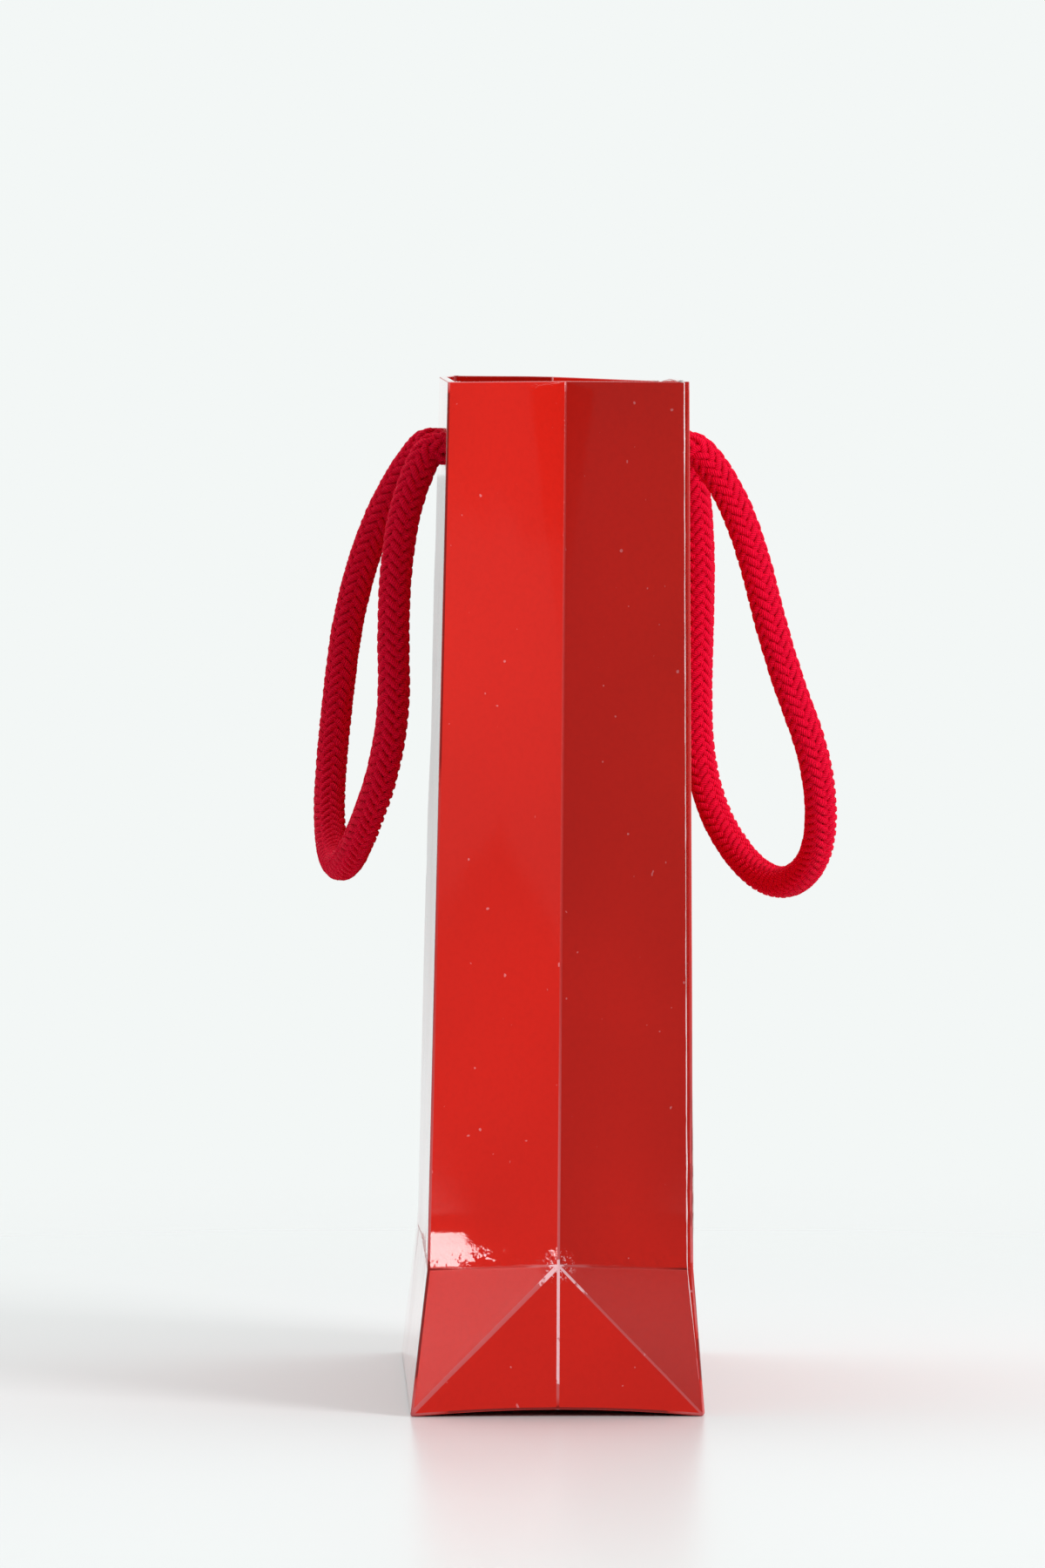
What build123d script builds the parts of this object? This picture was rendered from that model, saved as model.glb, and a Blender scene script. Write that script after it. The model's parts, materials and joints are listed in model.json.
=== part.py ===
"""A small gift bag of folded, laminated paper with two cord handles.

The wide panels face -Y (front) and +Y (back), the folded-in gussets face +X
(right) and -X (left), and the origin is the middle of the base, on the table.
Every crease of the paper is the border between two pieces, which meet there in
a mitre. Seen from above, the wall is an outline of six corners:

    back left ------------------ back right
         >  left valley  right valley  <
    front left ----------------- front right
"""
from build123d import *
import math
import os

# ------------------------------------------------- driving dimensions, in millimetres
BAG_WIDTH = 150.0             # along X
BAG_DEPTH = 60.0              # along Y, at the base
BAG_HEIGHT = 210.0
CREASE_HEIGHT = 30.0          # the level crease above the base
FRONT_LEAN_CREASE = 3.5       # how far the front panel stands in from the base line
FRONT_LEAN_TOP = 7.7
BACK_LEAN_CREASE = 2.4
BACK_LEAN_TOP = 3.3
VALLEY_DEPTH_CREASE = 9.5     # how far each gusset's middle crease is pushed in
VALLEY_DEPTH_TOP = 17.0
VALLEY_SHIFT_CREASE = 0.35    # how far that crease stands from the middle plane
VALLEY_SHIFT_TOP = 2.0
FOOT_DENT = 0.4               # how far the middle of each foot sits in at the table

PAPER = 0.3                   # laminated sheet
GLUE_LINE = 0.05              # between two sheets that lie on each other
SEAM_STRIP = 1.4              # flap left bare between the cut edge and the corner
GLUE_FLAP = 12.0              # width of the flap of the side seam
HEM_DEPTH = 35.0              # paper turned in at the mouth
CARD = 1.0                    # reinforcement card in the hem of each wide panel
CARD_LENGTH_GAP = 2.0         # between the card's ends and the corners
CARD_FOOT_GAP = 2.0           # between the card's lower edge and the hem's
FLAP_LAP = 16.0               # overlap of the two long bottom flaps
FLAP_FIT = 0.25               # between a bottom flap and the wall around it
SHORT_FLAP = 42.0             # length of the gussets' bottom flaps
SHORT_FLAP_TAPER = 11.0       # how much narrower their free ends are, each side
BOARD = 1.0                   # loose board on the bottom flaps
BOARD_FIT = 0.6               # between that board and the wall
BOARD_CORNER = 1.5

CORD = 6.0                    # diameter of the handles' cord
CORD_HOLE = 6.3
HOLE_DROP = 14.0              # holes below the mouth
HOLE_SPACING = 75.0
SWING_CLEARANCE = 0.3         # between the swinging cord's round end and the panel
KNOT_DIAMETER = 13.0
KNOT_LENGTH = 11.0
KNOT_ROUNDING = 4.0
KNOT_SEAT = 0.3               # between the knot and the hem
TAIL_LENGTH = 15.0            # cord's end, from the middle of its knot
TAIL_TILT = 20.0              # degrees from straight down

# Corner radius of a cord's path, as a share of the shorter run beside the corner
RUN_SHARE = 0.45

# ------------------------------------------------- sizes that follow
PANEL_TOP = BAG_HEIGHT - PAPER
HEM_BOTTOM = BAG_HEIGHT - HEM_DEPTH
HOLE_HEIGHT = BAG_HEIGHT - HOLE_DROP
LAYER = PAPER + GLUE_LINE
FOOT_LEAN = VALLEY_DEPTH_CREASE / CREASE_HEIGHT
FRONT_FOOT_LEAN = FRONT_LEAN_CREASE / CREASE_HEIGHT
HEM_STACK = LAYER + CARD + GLUE_LINE + PAPER      # a wide panel's wall at the mouth
SHORT_FLAP_LEVEL = 2 * LAYER
BOARD_LEVEL = 3 * LAYER
BOARD_TOP = BOARD_LEVEL + BOARD

# Sides of the outline, each from the corner of that number to the next
FRONT, RIGHT_FRONT, RIGHT_BACK, BACK, LEFT_BACK, LEFT_FRONT = range(6)
SIDES = 6
# Corners of the outline, in the same order
FRONT_LEFT, FRONT_RIGHT, RIGHT_VALLEY, BACK_RIGHT, BACK_LEFT, LEFT_VALLEY = range(SIDES)


def outline(height, front_lean, back_lean, valley_depth, valley_shift):
    """The outline's six corners at one height, anticlockwise from front left."""
    side = BAG_WIDTH / 2
    front = -BAG_DEPTH / 2 + front_lean
    back = BAG_DEPTH / 2 - back_lean
    valley = side - valley_depth
    places = [(-side, front), (side, front), (valley, valley_shift)]
    places += [(side, back), (-side, back), (-valley, valley_shift)]
    return [Vector(x, y, height) for x, y in places]


BASE_OUTLINE = outline(0, 0, 0, FOOT_DENT, 0)
CREASE_OUTLINE = outline(CREASE_HEIGHT, FRONT_LEAN_CREASE, BACK_LEAN_CREASE,
                         VALLEY_DEPTH_CREASE, VALLEY_SHIFT_CREASE)
TOP_OUTLINE = outline(BAG_HEIGHT, FRONT_LEAN_TOP, BACK_LEAN_TOP,
                      VALLEY_DEPTH_TOP, VALLEY_SHIFT_TOP)


def insets(wide, gusset, seam_gusset):
    """How far each of the six sides moves in; the seam is in the right back one."""
    return [wide, gusset, seam_gusset, wide, gusset, gusset]


OUTER = insets(0, 0, 0)
INNER = insets(PAPER, PAPER, PAPER)
SEAM_OUTER = insets(0, 0, LAYER)
SEAM_INNER = insets(PAPER, PAPER, LAYER)
FLAP_OUTER = insets(LAYER, LAYER, LAYER)
FLAP_INNER = insets(LAYER + PAPER, LAYER + PAPER, LAYER + PAPER)
CARD_OUTER = insets(LAYER, LAYER, LAYER)
CARD_INNER = insets(LAYER + CARD, LAYER, LAYER)
HEM_OUTER = insets(HEM_STACK - PAPER, LAYER, 2 * LAYER)
HEM_INNER = insets(HEM_STACK, LAYER + PAPER, 2 * LAYER + PAPER)


def moved_in(corners, distances):
    """An outline with each side moved inwards by its own distance."""
    moved = []
    for number, corner in enumerate(corners):
        before = (corner - corners[number - 1]).normalized()
        after = (corners[(number + 1) % SIDES] - corner).normalized()
        turn = before.cross(after).Z
        shift = after * distances[number - 1] - before * distances[number]
        moved.append(corner + shift * (1 / turn))
    return moved


def ring(height, distances):
    """The wall's outline at a height, moved inwards."""
    if height < CREASE_HEIGHT:
        low, high = BASE_OUTLINE, CREASE_OUTLINE
    else:
        low, high = CREASE_OUTLINE, TOP_OUTLINE
    share = (height - low[0].Z) / (high[0].Z - low[0].Z)
    pairs = zip(moved_in(low, distances), moved_in(high, distances))
    return [start + (end - start) * share for start, end in pairs]


def side_line(height, distances, side, end_gap=0.0):
    """The two ends of one side at a height, both cut back by the gap."""
    corners = ring(height, distances)
    start = corners[side]
    end = corners[(side + 1) % SIDES]
    along_side = (end - start).normalized()
    return start + along_side * end_gap, end - along_side * end_gap


def flat(points):
    """The X and Y of points, for a level sketch."""
    return [(point.X, point.Y) for point in points]


def wide_layer(side, outer, inner, low, high, end_gap=0.0):
    """A sheet that stands on a wide side of the outline, between two heights."""
    with BuildPart() as layer:
        for height in (low, high):
            outer_start, outer_end = side_line(height, outer, side, end_gap)
            inner_start, inner_end = side_line(height, inner, side, end_gap)
            with BuildSketch(Plane.XY.offset(height)):
                Polygon(*flat([outer_start, outer_end, inner_end, inner_start]))
        loft(ruled=True)
    return layer.part


def flat_sheet(outer, inner):
    """A sheet between two flat polygons with matching corners."""
    with BuildPart() as sheet:
        for corners in (outer, inner):
            first_edge = corners[1] - corners[0]
            normal = first_edge.cross(corners[-1] - corners[0])
            face_plane = Plane(origin=corners[0], x_dir=first_edge, z_dir=normal)
            with BuildSketch(face_plane):
                Polygon(*flat([face_plane.to_local_coords(corner) for corner in corners]))
        loft(ruled=True)
    return sheet.part


def gusset_sheet(corner, valley, outer, inner):
    """Half a gusset above the level crease: two flat stretches of sheet that meet
    in a soft fold from the crease's apex to the top corner."""
    corner_faces = []
    valley_faces = []
    for distances in (outer, inner):
        crease = ring(CREASE_HEIGHT, distances)
        top = ring(PANEL_TOP, distances)
        corner_faces.append([crease[corner], crease[valley], top[corner]])
        valley_faces.append([crease[valley], top[valley], top[corner]])
    with BuildPart() as sheet:
        add(flat_sheet(*corner_faces))
        add(flat_sheet(*valley_faces))
    return sheet.part


def seam_plane(distances, width):
    """The upright cut at a width from the seam's corner; it looks away from the corner."""
    crease = ring(CREASE_HEIGHT, distances)
    top = ring(PANEL_TOP, distances)
    low_point = along(crease[BACK_RIGHT], crease[RIGHT_VALLEY], width)
    high_point = along(top[BACK_RIGHT], top[RIGHT_VALLEY], width)
    upward = high_point - low_point
    return Plane(origin=low_point, x_dir=upward, z_dir=Vector(1, 0, 0).cross(upward))


def along(start, end, distance):
    """A point at a distance from the start of a line."""
    return start + (end - start).normalized() * distance


def wall_face(side, height):
    """The Y of a wide panel's outer face at a height."""
    return ring(height, OUTER)[side].Y


def hole_planes(side):
    """A plane on the outer face at each cord hole, which looks into the bag."""
    inward = 1 if side == FRONT else -1
    level = wall_face(side, HOLE_HEIGHT)
    places = [(x, level, HOLE_HEIGHT) for x in (HOLE_SPACING / 2, -HOLE_SPACING / 2)]
    return [Plane(origin=place, x_dir=(inward, 0, 0), z_dir=(0, inward, 0)) for place in places]


def write(part, name):
    """Label one sub-part and write its file."""
    part.label = name
    export_step(part, f"parts/{name}.step")


os.makedirs("parts", exist_ok=True)

# ------------------------------------------------- wide panels
with BuildPart() as front_panel:
    add(wide_layer(FRONT, OUTER, INNER, 0, CREASE_HEIGHT))
    add(wide_layer(FRONT, OUTER, INNER, CREASE_HEIGHT, PANEL_TOP))
    with Locations(*hole_planes(FRONT)):
        Hole(CORD_HOLE / 2)
write(front_panel.part, "front_panel")

with BuildPart() as back_panel:
    add(wide_layer(BACK, SEAM_OUTER, SEAM_INNER, 0, CREASE_HEIGHT))
    add(wide_layer(BACK, SEAM_OUTER, SEAM_INNER, CREASE_HEIGHT, PANEL_TOP))
    with Locations(*hole_planes(BACK)):
        Hole(CORD_HOLE / 2)
write(back_panel.part, "back_panel")

# ------------------------------------------------- gussets above the level crease
HALF_GUSSETS = {               # corner at the wide panel, corner in the valley, side between
    "right_front": (FRONT_RIGHT, RIGHT_VALLEY, RIGHT_FRONT),
    "right_back": (BACK_RIGHT, RIGHT_VALLEY, RIGHT_BACK),
    "left_back": (BACK_LEFT, LEFT_VALLEY, LEFT_BACK),
    "left_front": (FRONT_LEFT, LEFT_VALLEY, LEFT_FRONT),
}
SEAM_HALF = "right_back"
for name, (corner, valley, _) in HALF_GUSSETS.items():
    with BuildPart() as upper_gusset:
        add(gusset_sheet(corner, valley, OUTER, INNER))
        if name == SEAM_HALF:
            split(bisect_by=seam_plane(OUTER, SEAM_STRIP), keep=Keep.TOP)
    write(upper_gusset.part, f"{name}_gusset")


# ------------------------------------------------- gussets below the level crease
def lower_corners(distances, corner, valley):
    """Base corner, base middle, crease corner and crease apex of one half gusset."""
    base = ring(0, distances)
    crease = ring(CREASE_HEIGHT, distances)
    return base[corner], base[valley], crease[corner], crease[valley]


for name, (corner, valley, _) in HALF_GUSSETS.items():
    if name == SEAM_HALF:
        continue
    outer_four = lower_corners(OUTER, corner, valley)
    inner_four = lower_corners(INNER, corner, valley)
    with BuildPart() as side_triangle:
        faces = [[base, crease, apex] for base, middle, crease, apex in (outer_four, inner_four)]
        add(flat_sheet(*faces))
    write(side_triangle.part, f"{name}_side_triangle")
    with BuildPart() as foot_triangle:
        faces = [[base, middle, apex] for base, middle, crease, apex in (outer_four, inner_four)]
        add(flat_sheet(*faces))
    write(foot_triangle.part, f"{name}_foot_triangle")

# The seam side stops at the sheet's cut edge, a strip's width short of the corner.
side_faces = []
foot_faces = []
for distances in (OUTER, INNER):
    base, middle, crease, apex = lower_corners(distances, BACK_RIGHT, RIGHT_VALLEY)
    cut_on_crease = along(crease, apex, SEAM_STRIP)
    cut_on_diagonal = along(base, apex, SEAM_STRIP * math.sqrt(2))
    cut_on_base = along(base, middle, SEAM_STRIP)
    side_faces.append([cut_on_diagonal, cut_on_crease, apex])
    foot_faces.append([cut_on_diagonal, cut_on_base, middle, apex])
with BuildPart() as seam_side_triangle:
    add(flat_sheet(*side_faces))
write(seam_side_triangle.part, f"{SEAM_HALF}_side_triangle")
with BuildPart() as seam_foot_triangle:
    add(flat_sheet(*foot_faces))
write(seam_foot_triangle.part, f"{SEAM_HALF}_foot_triangle")

# ------------------------------------------------- glue flap of the side seam
flap_faces = []
for distances in (FLAP_OUTER, FLAP_INNER):
    base, middle, crease, apex = lower_corners(distances, BACK_RIGHT, RIGHT_VALLEY)
    flap_faces.append([base, crease, along(crease, apex, GLUE_FLAP)])
with BuildPart() as glue_flap:
    add(gusset_sheet(BACK_RIGHT, RIGHT_VALLEY, FLAP_OUTER, FLAP_INNER))
    split(bisect_by=seam_plane(FLAP_OUTER, GLUE_FLAP), keep=Keep.BOTTOM)
    add(flat_sheet(*flap_faces))
write(glue_flap.part, "glue_flap")

# ------------------------------------------------- bottom flaps and board
flap_half_length = BAG_WIDTH / 2 - PAPER - FOOT_DENT - FLAP_FIT
flap_edge = BAG_DEPTH / 2 - PAPER - FLAP_FIT
with BuildPart() as front_bottom_flap:
    with BuildSketch(Plane.YZ.offset(-flap_half_length)):
        Polygon((-flap_edge, 0), (FLAP_LAP / 2, 0), (FLAP_LAP / 2, PAPER), (-flap_edge, PAPER))
    extrude(amount=2 * flap_half_length)
write(front_bottom_flap.part, "front_bottom_flap")

# The back flap laps over the front one with a step of one layer.
lap_wall = FLAP_LAP / 2 + GLUE_LINE
with BuildPart() as back_bottom_flap:
    with BuildSketch(Plane.YZ.offset(-flap_half_length)):
        Polygon(
            (flap_edge, 0), (flap_edge, PAPER), (lap_wall + PAPER, PAPER),
            (lap_wall + PAPER, LAYER + PAPER), (-FLAP_LAP / 2, LAYER + PAPER),
            (-FLAP_LAP / 2, LAYER), (lap_wall, LAYER), (lap_wall, 0),
        )
    extrude(amount=2 * flap_half_length)
write(back_bottom_flap.part, "back_bottom_flap")

short_flap_top = SHORT_FLAP_LEVEL + PAPER
short_flap_end = BAG_WIDTH / 2 - PAPER - FOOT_DENT - FLAP_FIT - FOOT_LEAN * short_flap_top
short_flap_half = flap_edge - FRONT_FOOT_LEAN * short_flap_top
for name, way in {"right_bottom_flap": 1, "left_bottom_flap": -1}.items():
    free_end = short_flap_end - SHORT_FLAP
    free_half = short_flap_half - SHORT_FLAP_TAPER
    with BuildPart() as short_flap:
        with BuildSketch(Plane.XY.offset(SHORT_FLAP_LEVEL)):
            Polygon(
                (way * short_flap_end, -short_flap_half), (way * short_flap_end, short_flap_half),
                (way * free_end, free_half), (way * free_end, -free_half),
            )
        extrude(amount=PAPER)
    write(short_flap.part, name)

board_half_length = BAG_WIDTH / 2 - PAPER - FOOT_DENT - BOARD_FIT - FOOT_LEAN * BOARD_TOP
board_half_depth = BAG_DEPTH / 2 - PAPER - BOARD_FIT - FRONT_FOOT_LEAN * BOARD_TOP
with BuildPart() as base_board:
    with BuildSketch(Plane.XY.offset(BOARD_LEVEL)):
        RectangleRounded(2 * board_half_length, 2 * board_half_depth, BOARD_CORNER)
    extrude(amount=BOARD)
write(base_board.part, "base_board")

# ------------------------------------------------- cards in the hems
for name, side in {"front_card": FRONT, "back_card": BACK}.items():
    with BuildPart() as card:
        add(wide_layer(side, CARD_OUTER, CARD_INNER, HEM_BOTTOM + CARD_FOOT_GAP, PANEL_TOP,
                       end_gap=CARD_LENGTH_GAP))
        with Locations(*hole_planes(side)):
            Hole(CORD_HOLE / 2)
    write(card.part, name)


# ------------------------------------------------- hems turned in at the mouth
def cap_corners(side):
    """The fold over the top of one side, seen from above."""
    inner_start, inner_end = side_line(PANEL_TOP, HEM_INNER, side)
    start, end = side_line(PANEL_TOP, SEAM_OUTER if side == BACK else OUTER, side)
    if side != RIGHT_BACK:
        return [start, end, inner_end, inner_start]
    strip_start, strip_end = side_line(PANEL_TOP, SEAM_OUTER, side)
    cut_edge = along(end, start, SEAM_STRIP)
    strip_edge = along(strip_end, strip_start, SEAM_STRIP)
    return [start, cut_edge, strip_edge, strip_end, inner_end, inner_start]


for name, side in {"front_hem": FRONT, "back_hem": BACK}.items():
    with BuildPart() as hem:
        add(wide_layer(side, HEM_OUTER, HEM_INNER, HEM_BOTTOM, PANEL_TOP))
        with BuildSketch(Plane.XY.offset(PANEL_TOP)):
            Polygon(*flat(cap_corners(side)))
        extrude(amount=PAPER)
        with Locations(*hole_planes(side)):
            Hole(CORD_HOLE / 2)
    write(hem.part, name)

for name, (corner, valley, side) in HALF_GUSSETS.items():
    with BuildPart() as gusset_hem:
        add(gusset_sheet(corner, valley, HEM_OUTER, HEM_INNER))
        split(bisect_by=Plane.XY.offset(HEM_BOTTOM), keep=Keep.TOP)
        with BuildSketch(Plane.XY.offset(PANEL_TOP)):
            Polygon(*flat(cap_corners(side)))
        extrude(amount=PAPER)
    write(gusset_hem.part, f"{name}_gusset_hem")

# ------------------------------------------------- knots, with the cord through each hole
knot_start = HEM_STACK + KNOT_SEAT
for side_name, side in {"front": FRONT, "back": BACK}.items():
    for hand, hole_plane in zip(("right", "left"), hole_planes(side)):
        with BuildPart(hole_plane) as knot:
            with Locations((0, 0, knot_start)):
                Cylinder(KNOT_DIAMETER / 2, KNOT_LENGTH, align=(Align.CENTER, Align.CENTER, Align.MIN))
            fillet(knot.edges().filter_by(GeomType.CIRCLE), KNOT_ROUNDING)
            Cylinder(CORD / 2, knot_start + KNOT_LENGTH / 2, align=(Align.CENTER, Align.CENTER, Align.MIN))
            with Locations(Location((0, 0, knot_start + KNOT_LENGTH / 2), (TAIL_TILT - 90, 0, 0))):
                Cylinder(CORD / 2, TAIL_LENGTH, align=(Align.CENTER, Align.CENTER, Align.MIN))
        write(knot.part, f"{side_name}_{hand}_knot")

# ------------------------------------------------- handles, hanging outside the bag
PIVOT_OUT = CORD / 2 + SWING_CLEARANCE
FRONT_PIVOT = wall_face(FRONT, HOLE_HEIGHT) - PIVOT_OUT
BACK_PIVOT = wall_face(BACK, HOLE_HEIGHT) + PIVOT_OUT
HALF_SPACING = HOLE_SPACING / 2

# The near leg of the front handle hangs close to the bag, the far leg further out.
FRONT_ROUTE = [
    (HALF_SPACING, FRONT_PIVOT, HOLE_HEIGHT),
    (37.9, -30.6, 184.2),
    (38.6, -32.6, 170.5),
    (38.9, -33.0, 156.5),
    (37.6, -32.7, 142.5),
    (33.5, -34.9, 129.2),
    (25.5, -38.6, 118.2),
    (13.5, -41.6, 110.6),
    (0.0, -43.8, 108.0),
    (-13.5, -45.4, 110.8),
    (-24.5, -45.9, 119.2),
    (-31.8, -45.1, 131.4),
    (-36.0, -43.6, 144.8),
    (-38.0, -41.8, 158.6),
    (-38.6, -38.3, 172.3),
    (-37.9, -33.0, 185.2),
    (-HALF_SPACING, FRONT_PIVOT, HOLE_HEIGHT),
]
# The back handle is turned the other way: its near leg bellies out to a low bow.
BACK_ROUTE = [
    (HALF_SPACING, BACK_PIVOT, HOLE_HEIGHT),
    (37.7, 36.7, 186.2),
    (38.1, 41.2, 174.0),
    (38.3, 44.4, 160.6),
    (37.6, 48.5, 147.2),
    (34.4, 53.4, 134.2),
    (27.0, 55.7, 122.2),
    (16.0, 54.6, 112.6),
    (4.0, 50.4, 107.0),
    (-8.0, 44.8, 105.6),
    (-19.0, 38.8, 109.8),
    (-28.0, 34.4, 118.8),
    (-33.8, 32.6, 130.8),
    (-36.9, 32.0, 144.0),
    (-38.2, 32.5, 157.6),
    (-38.4, 32.8, 171.2),
    (-37.9, 32.0, 184.4),
    (-HALF_SPACING, BACK_PIVOT, HOLE_HEIGHT),
]


def corner_radii(route):
    """The arc at each corner of a route, as large as its two runs allow."""
    radii = []
    for before, corner, after in zip(route, route[1:], route[2:]):
        run_in = Vector(*corner) - Vector(*before)
        run_out = Vector(*after) - Vector(*corner)
        half_turn = math.radians(run_in.get_angle(run_out)) / 2
        radii.append(RUN_SHARE * min(run_in.length, run_out.length) / math.tan(half_turn))
    return radii


for name, route in {"front_cord_handle": FRONT_ROUTE, "back_cord_handle": BACK_ROUTE}.items():
    radii = corner_radii(route)
    with BuildPart() as handle:
        with BuildLine() as path:
            FilletPolyline(*route, radius=radii)
        with BuildSketch(Plane(origin=path.line @ 0, z_dir=path.line % 0)):
            Circle(CORD / 2)
        sweep()
        tube_volume = handle.part.volume
        with Locations(route[0], route[-1]):
            Sphere(CORD / 2)
    length = sum(edge.length for edge in path.edges())
    section = math.pi * CORD**2 / 4
    print(name, "length", round(length, 2), "radii", [round(radius, 1) for radius in radii])
    print(name, "tube volume over section times length", round(tube_volume / (section * length), 4))
    write(handle.part, name)
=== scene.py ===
"""Looks of a small gift bag: one folded sheet of laminated paper, boards and braided cords."""
import json
import math
import random

import bmesh
import bpy
from mathutils import Matrix, Vector, noise


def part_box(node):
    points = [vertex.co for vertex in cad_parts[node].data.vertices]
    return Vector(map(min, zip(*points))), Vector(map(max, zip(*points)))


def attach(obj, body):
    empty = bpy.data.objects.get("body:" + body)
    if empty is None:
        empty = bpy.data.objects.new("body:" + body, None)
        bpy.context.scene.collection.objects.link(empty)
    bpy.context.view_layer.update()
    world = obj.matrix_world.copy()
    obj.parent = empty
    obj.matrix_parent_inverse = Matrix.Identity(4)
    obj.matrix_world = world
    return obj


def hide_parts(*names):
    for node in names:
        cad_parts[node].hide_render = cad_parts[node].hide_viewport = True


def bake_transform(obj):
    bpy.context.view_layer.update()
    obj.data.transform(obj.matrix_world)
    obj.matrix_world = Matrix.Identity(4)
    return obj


bl_info = {
    "name": "Gift Bag",
    "version": (1, 0, 0),
    "blender": (4, 5, 0),
    "location": "3D View > Sidebar > Gift Bag",
    "description": "Models the paper, boards and cords of a small gift bag on its frame",
    "category": "Object",
}

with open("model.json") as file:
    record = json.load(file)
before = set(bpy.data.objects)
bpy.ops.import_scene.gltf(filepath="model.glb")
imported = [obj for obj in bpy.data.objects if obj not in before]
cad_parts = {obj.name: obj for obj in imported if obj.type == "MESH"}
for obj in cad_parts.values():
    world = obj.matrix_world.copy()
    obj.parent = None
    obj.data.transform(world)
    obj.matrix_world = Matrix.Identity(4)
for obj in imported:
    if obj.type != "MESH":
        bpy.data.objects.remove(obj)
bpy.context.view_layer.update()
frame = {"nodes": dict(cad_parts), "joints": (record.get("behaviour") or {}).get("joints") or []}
MM = 0.001
SIDES = 6
FRONT_PIVOT, BACK_PIVOT = [Vector(joint["pos_m"]) for joint in sorted(
    frame["joints"], key=lambda joint: joint["pos_m"][1])]


# ------------------------------------------------------------------ sizes and colours
def length(name, description, default):
    """A size in metres that a user can change."""
    return bpy.props.FloatProperty(
        name=name, description=description, default=default, min=0.0, precision=5, unit="LENGTH")


def colour(name, description, default):
    """A colour that a user can change."""
    return bpy.props.FloatVectorProperty(
        name=name, description=description, default=default, min=0.0, max=1.0, size=3,
        subtype="COLOR")


class PaperSizes(bpy.types.PropertyGroup):
    """Sizes of the folded sheet; the overall ones come from the frame."""
    half_width: length("Half Width", "From the middle to a gusset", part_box("front_panel")[1].x)
    front_foot: length("Front Foot", "From the middle to the front at the base",
                       -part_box("front_panel")[0].y)
    back_foot: length("Back Foot", "From the middle to the back at the base",
                      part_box("back_panel")[1].y)
    mouth: length("Mouth Height", "Height of the mouth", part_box("front_hem")[1].z)
    hem_foot: length("Hem Foot", "Height of the lower edge of the hem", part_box("front_hem")[0].z)
    crease: length("Level Crease", "Height of the level crease",
                   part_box("right_front_side_triangle")[1].z)
    front_lean_crease: length("Front Lean Low", "Front panel's lean at the crease", 3.5 * MM)
    front_lean_mouth: length("Front Lean High", "Front panel's lean at the mouth", 7.7 * MM)
    back_lean_crease: length("Back Lean Low", "Back panel's lean at the crease", 2.4 * MM)
    back_lean_mouth: length("Back Lean High", "Back panel's lean at the mouth", 3.3 * MM)
    valley_foot: length("Valley Foot", "Depth of the middle crease at the base", 0.4 * MM)
    valley_crease: length("Valley Low", "Depth of the middle crease at the level one", 9.5 * MM)
    valley_mouth: length("Valley High", "Depth of the middle crease at the mouth", 17 * MM)
    shift_crease: length("Shift Low", "Middle crease's place along Y, low", 0.35 * MM)
    shift_mouth: length("Shift High", "Middle crease's place along Y, high", 2.0 * MM)
    paper: length("Paper", "Thickness of the sheet", 0.3 * MM)
    layer: length("Layer", "One sheet and its glue line", 0.35 * MM)
    hem_stack: length("Hem Stack", "Wall thickness at the mouth, with its card", 1.7 * MM)
    strip: length("Seam Strip", "Flap left bare beside the cut edge", 1.4 * MM)
    worn_edge: length("Worn Edge", "Width of the worn line on the cut edge", 0.1 * MM)
    flap: length("Glue Flap", "Width of the glue flap", 12 * MM)
    fold: length("Fold", "Rounding of a sharp fold", 0.3 * MM)
    hollow: length("Hollow", "Depth of the hollow above the level crease", 2.0 * MM)
    foot_bow: length("Foot Bow", "How far the gusset's foot arches off the table", 1.4 * MM)
    pulled_corner: length("Pulled Corner", "How far the far front corner is pulled in", 2.0 * MM)
    strip_turn: length("Strip Turn", "How far the seam's corner is rounded away", 1.5 * MM)
    sunk_corner: length("Sunk Corner", "How far the far back corner has sunk", 1.2 * MM)
    hole: length("Cord Hole", "Radius of a cord hole", 3.15 * MM)
    hole_spacing: length("Hole Spacing", "Between the two holes of a panel", 75 * MM)


class CordSizes(bpy.types.PropertyGroup):
    """Sizes of the braided cord."""
    diameter: length("Diameter", "Diameter of the cord", 6 * MM)
    lead: length("Lead", "Height of one full turn of a strand", 18 * MM)
    strands: bpy.props.IntProperty(
        name="Strands", description="Strands that turn each way", default=8, min=4, max=16)
    fibres: bpy.props.IntProperty(
        name="Fibres", description="Loose fibres on each handle", default=1100, min=0)


class BagColours(bpy.types.PropertyGroup):
    """Colours of the materials."""
    red: colour("Laminated Red", "Printed side of the paper", (0.62, 0.0120, 0.0055))
    wear: colour("Worn Paper", "Paper where the film has cracked", (0.88, 0.50, 0.54))
    inside: colour("Paper Inside", "Unprinted side of the paper", (0.80, 0.79, 0.76))
    board: colour("Board", "Grey board of the base and the cards", (0.42, 0.38, 0.32))
    cord: colour("Cord", "Yarn of the handles", (0.95, 0.0010, 0.034))
    table: colour("Table", "Table top", (0.77, 0.78, 0.785))


def settings(context):
    """The three groups of settings."""
    scene = context.scene
    return scene.bag_paper, scene.bag_cord, scene.bag_colours


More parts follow.
